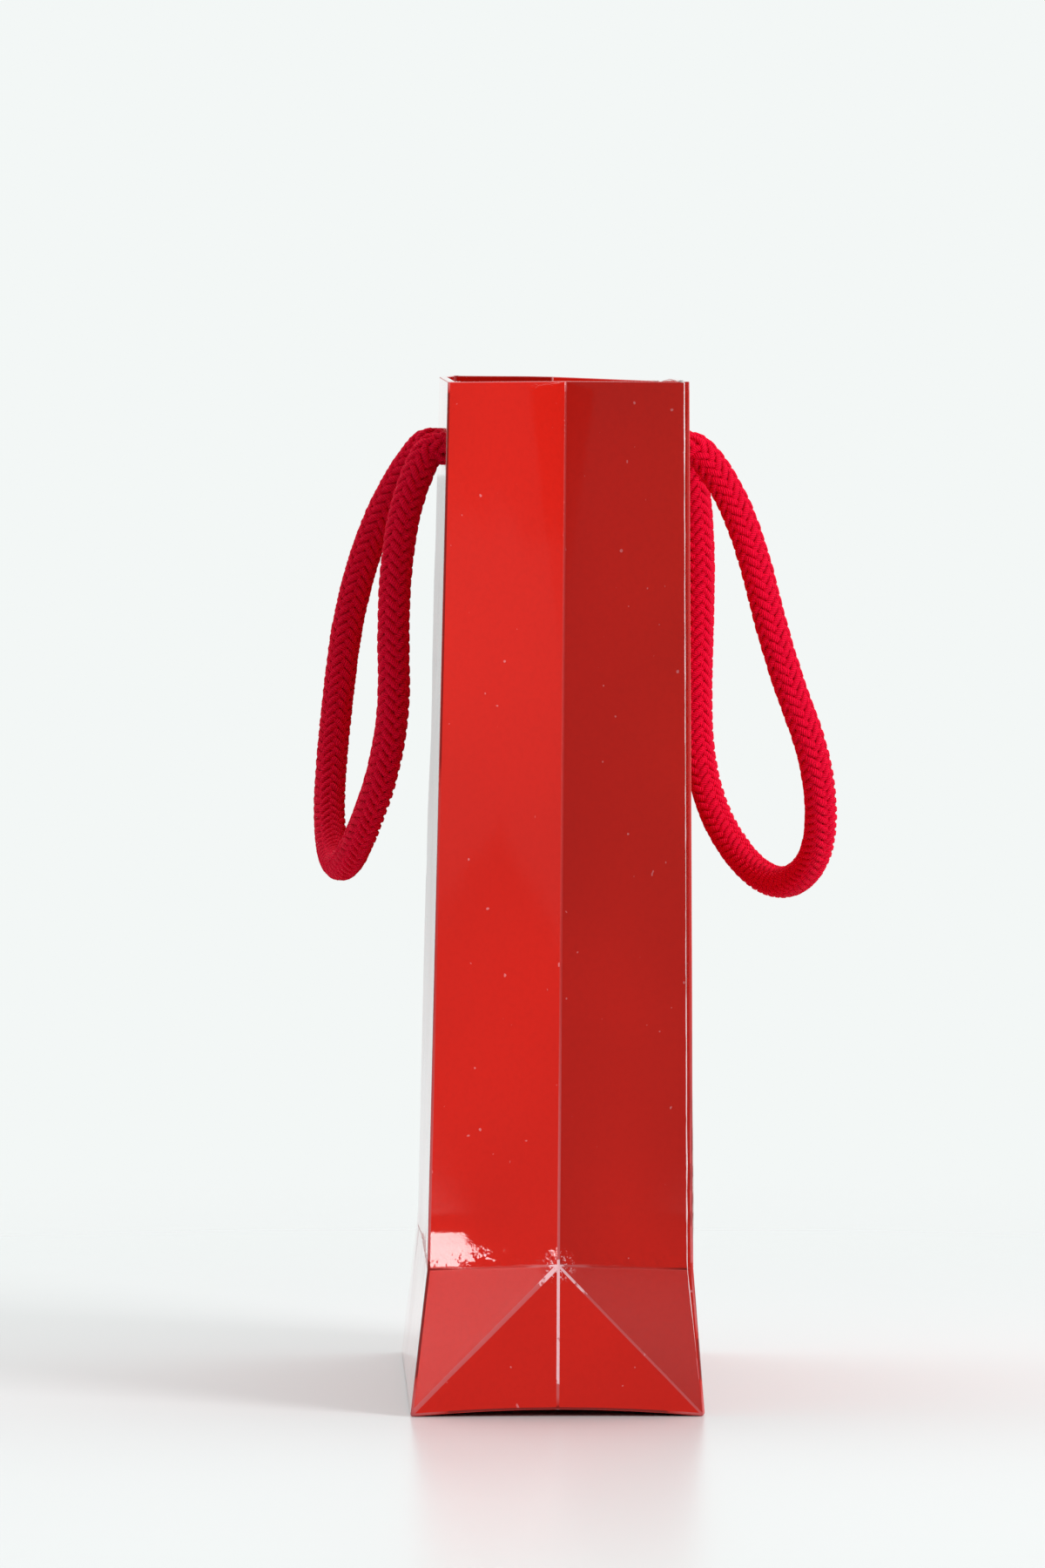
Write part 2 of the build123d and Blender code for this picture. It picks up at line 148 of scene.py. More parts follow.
# ------------------------------------------------------------------ node helpers
class Shader:
    """A material's nodes, added and linked one by one."""

    def __init__(self, name):
        self.material = bpy.data.materials.new(name)
        self.material.use_nodes = True
        self.nodes = self.material.node_tree.nodes
        self.links = self.material.node_tree.links
        self.surface = self.nodes["Principled BSDF"]

    def add(self, kind, **inputs):
        """A new node; keys that are names of inputs are set or linked."""
        node = self.nodes.new(kind)
        for key, value in inputs.items():
            socket = node.inputs.get(key.replace("_", " "))
            if socket is None:
                setattr(node, key, value)
            else:
                self.put(socket, value)
        return node

    def put(self, socket, value):
        """Sets a socket, or links it when the value is another socket."""
        if isinstance(value, bpy.types.NodeSocket):
            self.links.new(value, socket)
        else:
            socket.default_value = value

    def math(self, operation, *values):
        """The result of a math node."""
        node = self.nodes.new("ShaderNodeMath")
        node.operation = operation
        for socket, value in zip(node.inputs, values):
            self.put(socket, value)
        return node.outputs[0]

    def place(self, scale=(1, 1, 1)):
        """Object coordinates, scaled along each axis."""
        coordinates = self.nodes.new("ShaderNodeTexCoord")
        mapping = self.nodes.new("ShaderNodeMapping")
        mapping.inputs["Scale"].default_value = scale
        self.links.new(coordinates.outputs["Object"], mapping.inputs["Vector"])
        return mapping.outputs["Vector"]

    def axes(self):
        """Object coordinates along X, Y and Z, each apart."""
        node = self.add("ShaderNodeSeparateXYZ", Vector=self.place())
        return node.outputs

    def noise(self, scale, detail=3.0, roughness=0.5):
        """A noise pattern's value; a scale for each axis stretches the pattern."""
        stretched = isinstance(scale, tuple)
        place = self.place(scale if stretched else (1, 1, 1))
        node = self.add("ShaderNodeTexNoise", Scale=1.0 if stretched else scale, Detail=detail,
                        Roughness=roughness, Vector=place)
        return node.outputs[0]

    def span(self, value, low, high, to_low=0.0, to_high=1.0):
        """A value's range, mapped to another and clamped."""
        node = self.nodes.new("ShaderNodeMapRange")
        node.interpolation_type = "SMOOTHSTEP"
        for socket, number in zip(node.inputs, (value, low, high, to_low, to_high)):
            self.put(socket, number)
        return node.outputs[0]

    def mix(self, factor, first, second):
        """Two colours mixed."""
        node = self.nodes.new("ShaderNodeMix")
        node.data_type = "RGBA"
        self.put(node.inputs[0], factor)
        for socket, value in ((node.inputs[6], first), (node.inputs[7], second)):
            self.put(socket, value)
        return node.outputs[2]

    def bump(self, height, distance, normal=None):
        """A bump node's normal, on top of another bump's when one is given."""
        node = self.add("ShaderNodeBump", Distance=distance, Height=height)
        if normal is not None:
            self.links.new(normal, node.inputs["Normal"])
        return node.outputs[0]

    def finish(self, **inputs):
        """Sets the surface's inputs and gives the material."""
        for key, value in inputs.items():
            self.put(self.surface.inputs[key.replace("_", " ")], value)
        return self.material


def rgba(value, factor=1.0):
    """A colour with alpha, darker or lighter by a factor."""
    return (*[min(1.0, part * factor) for part in value], 1.0)


# ------------------------------------------------------------------ materials
def apex_distance(shader, paper):
    """Distance to the nearer of the two points where the gussets' creases meet."""
    x, y, z = shader.axes()
    apart = shader.math("SUBTRACT", shader.math("ABSOLUTE", x),
                        paper.half_width - paper.valley_crease)
    across = shader.math("SUBTRACT", y, paper.shift_crease)
    up = shader.math("SUBTRACT", z, paper.crease)
    total = shader.math("MULTIPLY", apart, apart)
    for part in (across, up):
        total = shader.math("ADD", total, shader.math("MULTIPLY", part, part))
    return shader.math("SQRT", total)


def puckered_band(shader, paper):
    """Small puckers in the few millimetres above the level crease, as a height."""
    _, _, z = shader.axes()
    above = shader.span(z, paper.crease - 0.5 * MM, paper.crease + 0.5 * MM)
    fading = shader.span(z, paper.crease + 1 * MM, paper.crease + 5 * MM, 1.0, 0.0)
    return shader.math("MULTIPLY", shader.noise(380, 2.0), shader.math("MULTIPLY", above, fading))


def laminated_red(paper, colours, name="laminated_red", ticks=False):
    """Printed paper under a gloss film, crumpled where the creases meet."""
    shader = Shader(name)
    near = shader.span(apex_distance(shader, paper), 1.2 * MM, 4.2 * MM, 1.0, 0.0)
    cloudy = shader.span(shader.noise(14, 2.0), 0.35, 0.65)
    tone = shader.mix(cloudy, rgba(colours.red, 0.93), rgba(colours.red, 1.05))
    mottled = shader.span(shader.noise(900, 2.0), 0.4, 0.7, 0.0, 0.12)
    tone = shader.mix(mottled, tone, rgba(colours.red, 0.75))
    crumpled = shader.noise(1500, 2.0, 0.6)
    flakes = shader.math("MULTIPLY", shader.span(crumpled, 0.56, 0.64), near)
    dust = shader.span(shader.noise(800, 0.0), 0.85, 0.88, 0.0, 0.3)
    worn = shader.math("MAXIMUM", flakes, dust)
    if ticks:
        lines = shader.noise((40, 40, 330), 1.0)
        worn = shader.math("MAXIMUM", worn, shader.span(lines, 0.70, 0.74, 0.0, 0.55))
    tone = shader.mix(worn, tone, rgba(colours.wear))
    smooth = shader.span(shader.noise(60, 3.0), 0.3, 0.7, 0.04, 0.07)
    dull = shader.math("ADD", smooth, shader.math("MULTIPLY", worn, 0.3))
    skin = shader.bump(shader.noise(1400, 2.0), 0.012 * MM)
    waves = shader.bump(shader.noise(95, 1.0), 0.05 * MM, normal=skin)
    crushed = shader.math("MULTIPLY", shader.noise(700, 2.0), near)
    crush = shader.bump(crushed, 0.5 * MM, normal=waves)
    puckered = shader.bump(puckered_band(shader, paper), 0.25 * MM, normal=crush)
    return shader.finish(
        Base_Color=tone, Roughness=dull, Normal=puckered, IOR=1.5, Coat_Weight=0.6,
        Coat_IOR=1.2, Coat_Roughness=0.05)


def worn_and_shaded_crease(colours):
    """The film's cracked line along a fold, as worn as the wear attribute says, and painted darker as
    shade where the fold is not worn.
    """
    shader = Shader("worn_and_shaded_crease")
    wear = shader.add("ShaderNodeAttribute", attribute_name="wear").outputs["Fac"]
    broken = shader.noise(420, 3.0, 0.65)
    level = shader.span(wear, 0.4, 1.0, 0.85, 0.3)
    cracked = shader.span(shader.math("SUBTRACT", broken, level), -0.05, 0.09)
    soft = shader.span(wear, 0.0, 0.4, 0.0, 0.17)
    amount = shader.math("MAXIMUM", cracked, soft)
    # Painted shade: a fold with no wear is painted at 0.4 of the red, darker than the 0.88 of a worn
    # fold.
    film = shader.mix(shader.span(wear, 0.0, 0.08), rgba(colours.red, 0.4), rgba(colours.red, 0.88))
    tone = shader.mix(amount, film, rgba(colours.wear))
    rough = shader.math("ADD", shader.math("MULTIPLY", amount, 0.35), 0.2)
    bumps = shader.bump(shader.noise(1600, 2.0), 0.06 * MM)
    return shader.finish(Base_Color=tone, Roughness=rough, Normal=bumps, IOR=1.5)


def cut_edge(colours):
    """Paper's bare core along a worn cut edge, red where the film still holds."""
    shader = Shader("cut_edge")
    broken = shader.span(shader.noise((300, 300, 130), 3.0, 0.6), 0.42, 0.56)
    tone = shader.mix(broken, rgba(colours.red, 0.9), rgba(colours.wear, 1.05))
    bumps = shader.bump(shader.noise(2400, 2.0), 0.05 * MM)
    return shader.finish(Base_Color=tone, Roughness=0.55, Normal=bumps)


def bare_paper(colours):
    """The sheet's unprinted side, with the faint clouds and fibres of paper."""
    shader = Shader("paper_inside")
    clouds = shader.span(shader.noise(160, 4.0, 0.6), 0.3, 0.7)
    fibres = shader.noise((900, 900, 2600), 4.0, 0.7)
    tone = shader.mix(clouds, rgba(colours.inside, 0.93), rgba(colours.inside, 1.02))
    tone = shader.mix(shader.span(fibres, 0.55, 0.8, 0.0, 0.25), tone, rgba(colours.inside, 0.8))
    bumps = shader.bump(fibres, 0.02 * MM)
    return shader.finish(Base_Color=tone, Roughness=0.8, Normal=bumps)


def raw_core(colours):
    """The sheet's cut thickness."""
    shader = Shader("paper_core")
    layers = shader.noise(2600, 3.0, 0.7)
    tone = shader.mix(layers, rgba(colours.wear, 0.85), rgba(colours.inside, 1.05))
    return shader.finish(Base_Color=tone, Roughness=0.85, Normal=shader.bump(layers, 0.03 * MM))


def grey_board(colours):
    """Pressed board with dark and pale fibres."""
    shader = Shader("pressed_board")
    clouds = shader.noise(70, 4.0, 0.6)
    tone = shader.mix(clouds, rgba(colours.board, 0.8), rgba(colours.board, 1.25))
    long_fibres = shader.noise((500, 2200, 2200), 4.0, 0.7)
    flecks = shader.span(shader.noise(1700, 3.0, 0.8), 0.64, 0.7)
    tone = shader.mix(shader.span(long_fibres, 0.5, 0.75, 0.0, 0.5), tone, rgba(colours.board, 1.7))
    tone = shader.mix(shader.math("MULTIPLY", flecks, 0.7), tone, rgba(colours.board, 0.35))
    bumps = shader.bump(long_fibres, 0.08 * MM)
    return shader.finish(Base_Color=tone, Roughness=0.9, Normal=bumps)


def braided_yarn(colours):
    """Soft yarn whose plies run slantwise round each strand, painted darker as shade in their grooves
    and lighter as light on their ridges, with pale streaks painted as fibre highlights; UV is metres
    along and round.
    """
    shader = Shader("braided_yarn")
    layout = shader.add("ShaderNodeUVMap", uv_map="strand")
    slant = shader.add("ShaderNodeMapping", Rotation=(0, 0, math.radians(28)),
                       Vector=layout.outputs[0])
    plies = shader.add("ShaderNodeTexWave", Scale=1150.0, Distortion=3.5, Detail=3.0,
                       Detail_Scale=1.6, Vector=slant.outputs[0])
    ply = shader.math("MULTIPLY", plies.outputs["Fac"], 0.55)
    streaks = shader.math("MULTIPLY", shader.noise((2600, 2600, 1400), 4.0, 0.7), 0.6)
    shade = shader.math("ADD", ply, streaks)
    # Painted light and shade: the plies' ridges are painted lighter as light and their grooves darker
    # as shade.
    lit = shader.span(shade, 0.3, 0.85)
    tone = shader.mix(lit, rgba(colours.cord, 0.68), rgba(colours.cord, 1.2))
    # Painted highlights: pale pink streaks stand in for light caught by single fibres.
    pale = shader.span(shader.noise((3800, 3800, 1500), 3.0, 0.7), 0.66, 0.72)
    tone = shader.mix(shader.math("MULTIPLY", pale, 0.35), tone, (0.85, 0.08, 0.14, 1.0))
    bumps = shader.bump(shade, 0.22 * MM)
    return shader.finish(
        Base_Color=tone, Roughness=0.8, Normal=bumps, Sheen_Weight=0.12, Sheen_Roughness=0.5,
        Sheen_Tint=(1.0, 0.05, 0.12, 1.0), Specular_IOR_Level=0.08)


# Radii between which the table fades into the backdrop, as it is looked at.
TABLE_FADE = (0.07, 0.6)
# Distances before the bag between which the table stops showing in the gloss film.
GLOSS_FADE = (0.15, 0.45)


def table_top(colours):
    """A smooth, slightly glossy white table that fades into the backdrop."""
    shader = Shader("table_top")
    clouds = shader.noise(6, 2.0)
    tone = shader.mix(clouds, rgba(colours.table, 0.99), rgba(colours.table))
    material = shader.finish(
        Base_Color=tone, Roughness=0.28, IOR=1.45, Specular_IOR_Level=0.26)
    away = shader.add("ShaderNodeVectorMath", operation="LENGTH", Vector=shader.place())
    seen = shader.add("ShaderNodeLightPath")
    far = shader.span(away.outputs["Value"], *TABLE_FADE)
    faded = shader.math("MULTIPLY", far, seen.outputs["Is Camera Ray"])
    x, _, _ = shader.axes()
    unseen = shader.math("MULTIPLY", shader.span(x, *GLOSS_FADE), seen.outputs["Is Glossy Ray"])
    blend = shader.add("ShaderNodeMixShader", Fac=shader.math("MAXIMUM", faded, unseen))
    clear = shader.add("ShaderNodeBsdfTransparent")
    shader.links.new(shader.surface.outputs[0], blend.inputs[1])
    shader.links.new(clear.outputs[0], blend.inputs[2])
    shader.links.new(blend.outputs[0], shader.nodes["Material Output"].inputs["Surface"])
    return material


# Brightness of the backdrop behind the bag, and of the room before it.
BACKDROP, ROOM = 0.93, 0.2
# Along X, where the backdrop's light ends and the room's begins.
ROOM_EDGES = (-0.25, 0.35)


def studio_world():
    """A bright backdrop behind the bag, a dimmer room before it, and pale to look at."""
    world = bpy.data.worlds.new("studio")
    world.use_nodes = True
    nodes = world.node_tree.nodes
    links = world.node_tree.links
    coordinates = nodes.new("ShaderNodeTexCoord")
    parts = nodes.new("ShaderNodeSeparateXYZ")
    links.new(coordinates.outputs["Generated"], parts.inputs[0])
    fade = nodes.new("ShaderNodeMapRange")
    fade.interpolation_type = "SMOOTHSTEP"
    for socket, number in zip(fade.inputs[1:5], (*ROOM_EDGES, BACKDROP, ROOM)):
        socket.default_value = number
    links.new(parts.outputs[0], fade.inputs[0])
    seen = nodes.new("ShaderNodeLightPath")
    strength = nodes.new("ShaderNodeMix")
    links.new(seen.outputs["Is Camera Ray"], strength.inputs[0])
    links.new(fade.outputs[0], strength.inputs[2])
    strength.inputs[3].default_value = BACKDROP
    background = nodes["Background"]
    background.inputs["Color"].default_value = (0.965, 1.0, 0.99, 1.0)
    links.new(strength.outputs[0], background.inputs["Strength"])
    return world


# ------------------------------------------------------------------ mesh helpers
def select_only(piece):
    """Makes one object the only selected and the active one."""
    bpy.ops.object.select_all(action="DESELECT")
    piece.select_set(True)
    bpy.context.view_layer.objects.active = piece


def apply_modifier(piece, kind, name, **values):
    """Adds a modifier, sets it and applies it."""
    select_only(piece)
    modifier = piece.modifiers.new(name, kind)
    for key, value in values.items():
        setattr(modifier, key, value)
    bpy.ops.object.modifier_apply(modifier=name)


def mesh_piece(name, vertices, faces, materials):
    """A new mesh object, smooth all over."""
    mesh = bpy.data.meshes.new(name)
    mesh.from_pydata(vertices, [], faces)
    for material in materials:
        mesh.materials.append(material)
    piece = bpy.data.objects.new(name, mesh)
    bpy.context.scene.collection.objects.link(piece)
    mesh.shade_smooth()
    return piece


# ------------------------------------------------------------------ the paper's outline
def outline(paper, height):
    """The outer face's six corners at a height, anticlockwise from front left."""
    if height < paper.crease:
        low = (0, 0, paper.valley_foot, 0)
        high = (paper.front_lean_crease, paper.back_lean_crease, paper.valley_crease,
                paper.shift_crease)
        share = height / paper.crease
    else:
        low = (paper.front_lean_crease, paper.back_lean_crease, paper.valley_crease,
               paper.shift_crease)
        high = (paper.front_lean_mouth, paper.back_lean_mouth, paper.valley_mouth,
                paper.shift_mouth)
        share = (height - paper.crease) / (paper.mouth - paper.crease)
    front_in, back_in, valley_in, shift = [a + (b - a) * share for a, b in zip(low, high)]
    side = paper.half_width
    front = front_in - paper.front_foot
    back = paper.back_foot - back_in
    places = [(-side, front), (side, front), (side - valley_in, shift),
              (side, back), (-side, back), (valley_in - side, shift)]
    return [Vector((x, y, height)) for x, y in places]


def moved_in(corners, distances):
    """An outline with each side moved inwards by its own distance."""
    moved = []
    for number, corner in enumerate(corners):
        before = (corner - corners[number - 1]).normalized()
        after = (corners[(number + 1) % SIDES] - corner).normalized()
        turn = before.cross(after).z
        shift = after * distances[number - 1] - before * distances[number]
        moved.append(corner + shift / turn)
    return moved


def along(start, end, distance):
    """A point at a distance from the start of a line."""
    return start + (end - start).normalized() * distance


def at_x(start, end, x):
    """The point of a line at a place along X."""
    return start.lerp(end, (x - start.x) / (end.x - start.x))


# The sheet's columns at its folds and ends, from the glue flap's end round to the cut edge.
# Each panel has five more between its folds: one each side of each hole and one in the middle.
FLAP_END, SEAM_CORNER, BACK_LEFT, LEFT_VALLEY, FRONT_LEFT, FRONT_RIGHT = 0, 1, 7, 8, 9, 15
RIGHT_VALLEY, WORN_LINE, CUT_EDGE = 16, 17, 18
# From a hole's centre to the nearest columns and rows.
HOLE_CELL = 5 * MM
# Heights of the rows above the level crease, closer together near it.
ROWS_ABOVE = [step * MM for step in (3, 7, 13, 24, 45, 80, 112)]
# The seam's bare strip at the foot, as a share of its width, and the glue flap's width there.
STRIP_SHARE = 0.35
FLAP_AT_FOOT = 1.5 * MM


def columns(paper, height, in_hem):
    """The sheet's points at one height, from the glue flap round to the cut edge."""
    # Distances inwards: front, the right gusset's halves, back, the left gusset's halves.
    if in_hem:
        gusset = paper.layer + paper.paper
        seam = gusset + paper.layer
        distances = [paper.hem_stack, gusset, seam, paper.hem_stack, gusset, gusset]
        flap_distances = distances
    else:
        distances = [0] * SIDES
        flap_distances = [0, 0, paper.layer, 0, 0, 0]
    corners = moved_in(outline(paper, height), distances)
    front_left, front_right, right_valley, back_right, back_left, left_valley = corners
    flap_corners = moved_in(outline(paper, height), flap_distances)
    _, _, flap_valley, flap_back, _, _ = flap_corners
    seam_corner = flap_back - Vector((paper.strip_turn, 0, 0))
    half_spacing = paper.hole_spacing / 2
    across = [-half_spacing - HOLE_CELL, -half_spacing + HOLE_CELL, 0,
              half_spacing - HOLE_CELL, half_spacing + HOLE_CELL]
    strip = paper.strip
    flap = paper.flap
    if height < paper.crease:
        strip *= STRIP_SHARE + (1 - STRIP_SHARE) * height / paper.crease
        flap = FLAP_AT_FOOT + (flap - FLAP_AT_FOOT) * height / paper.crease
    line = [along(flap_back, flap_valley, flap), seam_corner]
    line += [at_x(seam_corner, back_left, x) for x in reversed(across)]
    line += [back_left, left_valley, front_left]
    line += [at_x(front_left, front_right, x) for x in across]
    line += [front_right, right_valley]
    line += [along(back_right, right_valley, strip + paper.worn_edge)]
    line += [along(back_right, right_valley, strip)]
    return line


def sheet_rows(paper):
    """Heights of the sheet's rows up the wall, and then down the hem."""
    hole = FRONT_PIVOT.z
    wall = [paper.layer, paper.crease]
    wall += [paper.crease + step for step in ROWS_ABOVE]
    wall += [paper.hem_foot, hole - HOLE_CELL, hole + HOLE_CELL, paper.mouth]
    hem = [paper.mouth, hole + HOLE_CELL, hole - HOLE_CELL, paper.hem_foot]
    return wall, hem


def sheet_grid(paper):
    """All the sheet's points, row by row from the foot's tuck to the lower edge of the hem."""
    wall, hem = sheet_rows(paper)
    tuck = [point.copy() for point in columns(paper, wall[0], False)]
    front_left, front_right, right_valley, _, back_left, left_valley = moved_in(
        outline(paper, 0), [paper.layer] * SIDES)
    tucked = {BACK_LEFT: back_left, LEFT_VALLEY: left_valley, FRONT_LEFT: front_left,
              FRONT_RIGHT: front_right, RIGHT_VALLEY: right_valley}
    grid = [tuck] + [columns(paper, height, False) for height in wall]
    grid += [columns(paper, height, True) for height in hem]
    for column, point in enumerate(tuck):
        if column in tucked:
            point.xy = tucked[column].xy
        elif SEAM_CORNER <= column < BACK_LEFT:
            point.y -= paper.layer
        elif FRONT_LEFT < column < FRONT_RIGHT:
            point.y += paper.layer
        else:
            point.x -= paper.layer
        point.z = 0.0
    return grid


# The first two rows of folds: at the foot and at the level crease.
FOOT_ROW, CREASE_ROW = 1, 2


def diagonals():
    """The four slanting folds of the gussets' feet, given as folds gives them."""
    lines = []
    for corner, valley in ((BACK_LEFT, LEFT_VALLEY), (FRONT_LEFT, LEFT_VALLEY),
                           (FRONT_RIGHT, RIGHT_VALLEY), (WORN_LINE, RIGHT_VALLEY)):
        share = 0.8 if corner in (FRONT_LEFT, FRONT_RIGHT) else 0.45
        lines.append(((FOOT_ROW, corner), (CREASE_ROW, valley), share))
    return lines


def folds(paper):
    """Pairs of (row, column) places that a fold runs between, with its share of rounding."""
    wall, hem = sheet_rows(paper)
    mouth = len(wall)
    last = len(wall) + len(hem)
    lines = []
    for column in (SEAM_CORNER, BACK_LEFT, LEFT_VALLEY, FRONT_LEFT, FRONT_RIGHT, RIGHT_VALLEY):
        share = 0.5 if column in (LEFT_VALLEY, RIGHT_VALLEY) else 1.0
        lines += [((row, column), (row + 1, column), share) for row in range(last)]
    for row, share in ((FOOT_ROW, 0.5), (CREASE_ROW, 0.35), (mouth, 0.3), (mouth + 1, 0.3)):
        lines += [((row, column), (row, column + 1), share) for column in range(CUT_EDGE)]
    return lines + diagonals()


def smooth_share(value, start=0.0, run=1.0):
    """From 0 at a start to 1 after a run, with soft ends."""
    share = min(1.0, max(0.0, (value - start) / run))
    return share * share * (3 - 2 * share)


# The gusset's hollow is deepest this far above the level crease, and fades over this height.
HOLLOW_RISE = 9.5 * MM
HOLLOW_FADE = 60 * MM


def sheet_hollow(paper, place):
    """How far the gusset is pushed in above the level crease, along X."""
    above = place.z - paper.crease
    if above < 0:
        return 0.0
    _, front, valley, back, _, _ = outline(paper, place.z)
    edge = back if place.y > valley.y else front
    share = min(1.0, max(0.0, (edge.y - place.y) / (edge.y - valley.y)))
    across = 1 - smooth_share(share, 0.25, 0.5)
    height = HOLLOW_RISE * (1 - 0.3 * share)
    rise = min(1.0, above / height) * math.exp(-max(0.0, above - height) / HOLLOW_FADE)
    return -paper.hollow * rise * across


# Starts and runs of the places that handling has moved, from the bag's middle and its foot.
ARCH_ALONG = (46 * MM, 27 * MM)
ARCH_HEIGHT = 14 * MM
PULLED_ALONG = (44 * MM, 31 * MM)
PULLED_UP = (95 * MM, 60 * MM)
PULLED_ACROSS = 20 * MM
SUNK_ALONG = (-10 * MM, 85 * MM)
SUNK_UP = (60 * MM, 140 * MM)
SUNK_ACROSS = 26 * MM


def handled(paper, place):
    """Where a point of the paper or a board ends up once the bag has been handled."""
    moved = place.copy()
    reach = smooth_share(abs(place.x), *ARCH_ALONG)
    arch = max(0.0, 1 - (place.y / paper.front_foot) ** 2)
    low = max(0.0, 1 - place.z / ARCH_HEIGHT) ** 2
    moved.z += paper.foot_bow * reach * arch * low
    if place.y < 0:
        corner = smooth_share(-place.x, *PULLED_ALONG) * smooth_share(place.z, *PULLED_UP)
        moved.y += paper.pulled_corner * corner * min(1.0, -place.y / PULLED_ACROSS)
    else:
        corner = smooth_share(-place.x, *SUNK_ALONG) * smooth_share(place.z, *SUNK_UP)
        moved.z -= paper.sunk_corner * corner * min(1.0, place.y / SUNK_ACROSS)
    return moved


# Long and short waves of handled paper: how close together, and their shares of the height.
LONG_WAVES, LONG_SHARE = 22, 0.35
SHORT_WAVES, SHORT_SHARE = 60, 0.12
SHORT_START = Vector((7, 3, 1))
# Heights of the waves in a panel and in a gusset.
PANEL_WAVE = 1.6 * MM
GUSSET_WAVE = 0.5 * MM
# Distances over which the waves grow from the foot and from a panel's edges.
FOOT_CALM = 12 * MM
EDGE_CALM = 20 * MM
# How far a panel's edge follows the gusset's hollow.
FOLLOWING = 9 * MM


def relax_sheet(piece, paper):
    """Gives the flat facets the small waves and hollows of handled paper."""
    for vertex in piece.data.vertices:
        place = vertex.co.copy()
        waves = noise.noise(place * LONG_WAVES) * LONG_SHARE
        waves += noise.noise(place * SHORT_WAVES + SHORT_START) * SHORT_SHARE
        fade = min(1.0, max(0.0, place.z / FOOT_CALM))
        moved = handled(paper, place)
        if abs(vertex.normal.y) > 0.9:
            edge = min(1.0, (paper.half_width - abs(place.x)) / EDGE_CALM)
            stiff = 0.0 if place.z > paper.hem_foot - 6 * MM else 1.0
            moved.y += math.copysign(1, place.y) * waves * fade * edge * stiff * PANEL_WAVE
            follows = smooth_share(1 - (paper.half_width - abs(place.x)) / FOLLOWING)
            moved.x += math.copysign(1, place.x) * sheet_hollow(paper, place) * follows
        elif abs(place.x) > paper.half_width - paper.valley_mouth - 3 * MM:
            way = math.copysign(1, place.x)
            moved.x += way * (sheet_hollow(paper, place) + waves * fade * GUSSET_WAVE)
        vertex.co = moved


# How worn the folds are, from 0 to 1.
MOUTH_WEAR, FOOT_WEAR, LEVEL_WEAR = 0.5, 0.1, 0.08
LOW_MIDDLE_WEAR, HIGH_MIDDLE_WEAR = 1.0, 0.12
BACK_DIAGONAL_WEAR, FRONT_DIAGONAL_WEAR = 0.66, 0.4


def closeness(place, centre, reach):
    """From 1 at a centre down to 0 at its reach."""
    return max(0.0, 1 - (place - centre).length / reach)


def wear_at(paper, place):
    """How worn a fold is at a place, from 0 to 1."""
    here = Vector((abs(place.x), place.y, place.z))
    apex = Vector((paper.half_width - paper.valley_crease, paper.shift_crease, paper.crease))
    near_apex = closeness(here, apex, 3.5 * MM)
    foot_corner = Vector((paper.half_width, paper.front_foot, 0))
    near_corner = closeness(Vector((here.x, abs(here.y), here.z)), foot_corner, 7 * MM)
    in_gusset = here.x < paper.half_width - 0.7 * MM and abs(here.y) < paper.front_foot - 2 * MM
    if place.z > paper.mouth - 1 * MM:
        level = MOUTH_WEAR
    elif not in_gusset:
        level = 0.0
    elif place.z > paper.crease + 1 * MM:
        fading = max(0.0, 1 - (place.z - paper.crease) / (60 * MM))
        level = HIGH_MIDDLE_WEAR + 0.3 * fading
    elif abs(here.y - paper.shift_crease) < 1.2 * MM:
        level = LOW_MIDDLE_WEAR
    elif place.z > paper.crease - 1.2 * MM:
        level = LEVEL_WEAR
    elif place.z < 1.5 * MM:
        level = FOOT_WEAR
    elif place.y > 0:
        level = BACK_DIAGONAL_WEAR
    else:
        level = FRONT_DIAGONAL_WEAR
    return min(1.0, level + near_apex * 0.15 + near_corner * 0.7)


# Cuts across a hole's square cell; the second ring of its grid becomes the hole's edge.
HOLE_CUTS = 5


def punch_holes(paper, sheet):
    """Turns the square cells at the cord holes into round openings."""
    half_spacing = paper.hole_spacing / 2
    for panel in (-1, 1):
        for hand in (-1, 1):
            centre = Vector((hand * half_spacing, 0, FRONT_PIVOT.z))
            for lining in (False, True):
                bpy.ops.mesh.select_all(action="DESELECT")
                for face in sheet.faces:
                    middle = face.calc_center_median()
                    aside = Vector((middle.x, 0, middle.z)) - centre
                    outside = face.normal.y * panel > 0
                    if aside.length < MM and middle.y * panel > 0 and outside != lining:
                        face.select = True
                chosen = [face for face in sheet.faces if face.select]
                if len(chosen) != 1:
                    raise RuntimeError(f"a cord hole has {len(chosen)} cells and not one")
                slope = -chosen[0].normal.z / chosen[0].normal.y
                level = chosen[0].calc_center_median().y
                bmesh.update_edit_mesh(bpy.context.object.data)
                bpy.ops.mesh.subdivide(number_cuts=HOLE_CUTS)
                round_opening(paper, sheet, centre, level, slope)


def round_opening(paper, sheet, centre, level, slope):
    """Moves the second ring of a cell's grid onto a circle and opens what is in it."""
    step = 2 * HOLE_CELL / (HOLE_CUTS + 1)
    inner = []
    for vertex in sheet.verts:
        if not vertex.select:
            continue
        aside = Vector((vertex.co.x - centre.x, 0, vertex.co.z - centre.z))
        reach = max(abs(aside.x), abs(aside.z)) / step
        if 1.5 < reach < 2.5:
            on_ring = aside.normalized() * paper.hole
            vertex.co.x = centre.x + on_ring.x
            vertex.co.z = centre.z + on_ring.z
            vertex.co.y = level + slope * on_ring.z
        elif reach < 1.5:
            inner.append(vertex)
    bmesh.ops.delete(sheet, geom=inner, context="VERTS")
    bmesh.update_edit_mesh(bpy.context.object.data)


# Slots of the sheet's outer faces after the film's, which is the first. The slots of the
# inside and of the cut core follow each.
CREASE_SLOT, EDGE_SLOT, FLAP_SLOT = 3, 6, 9


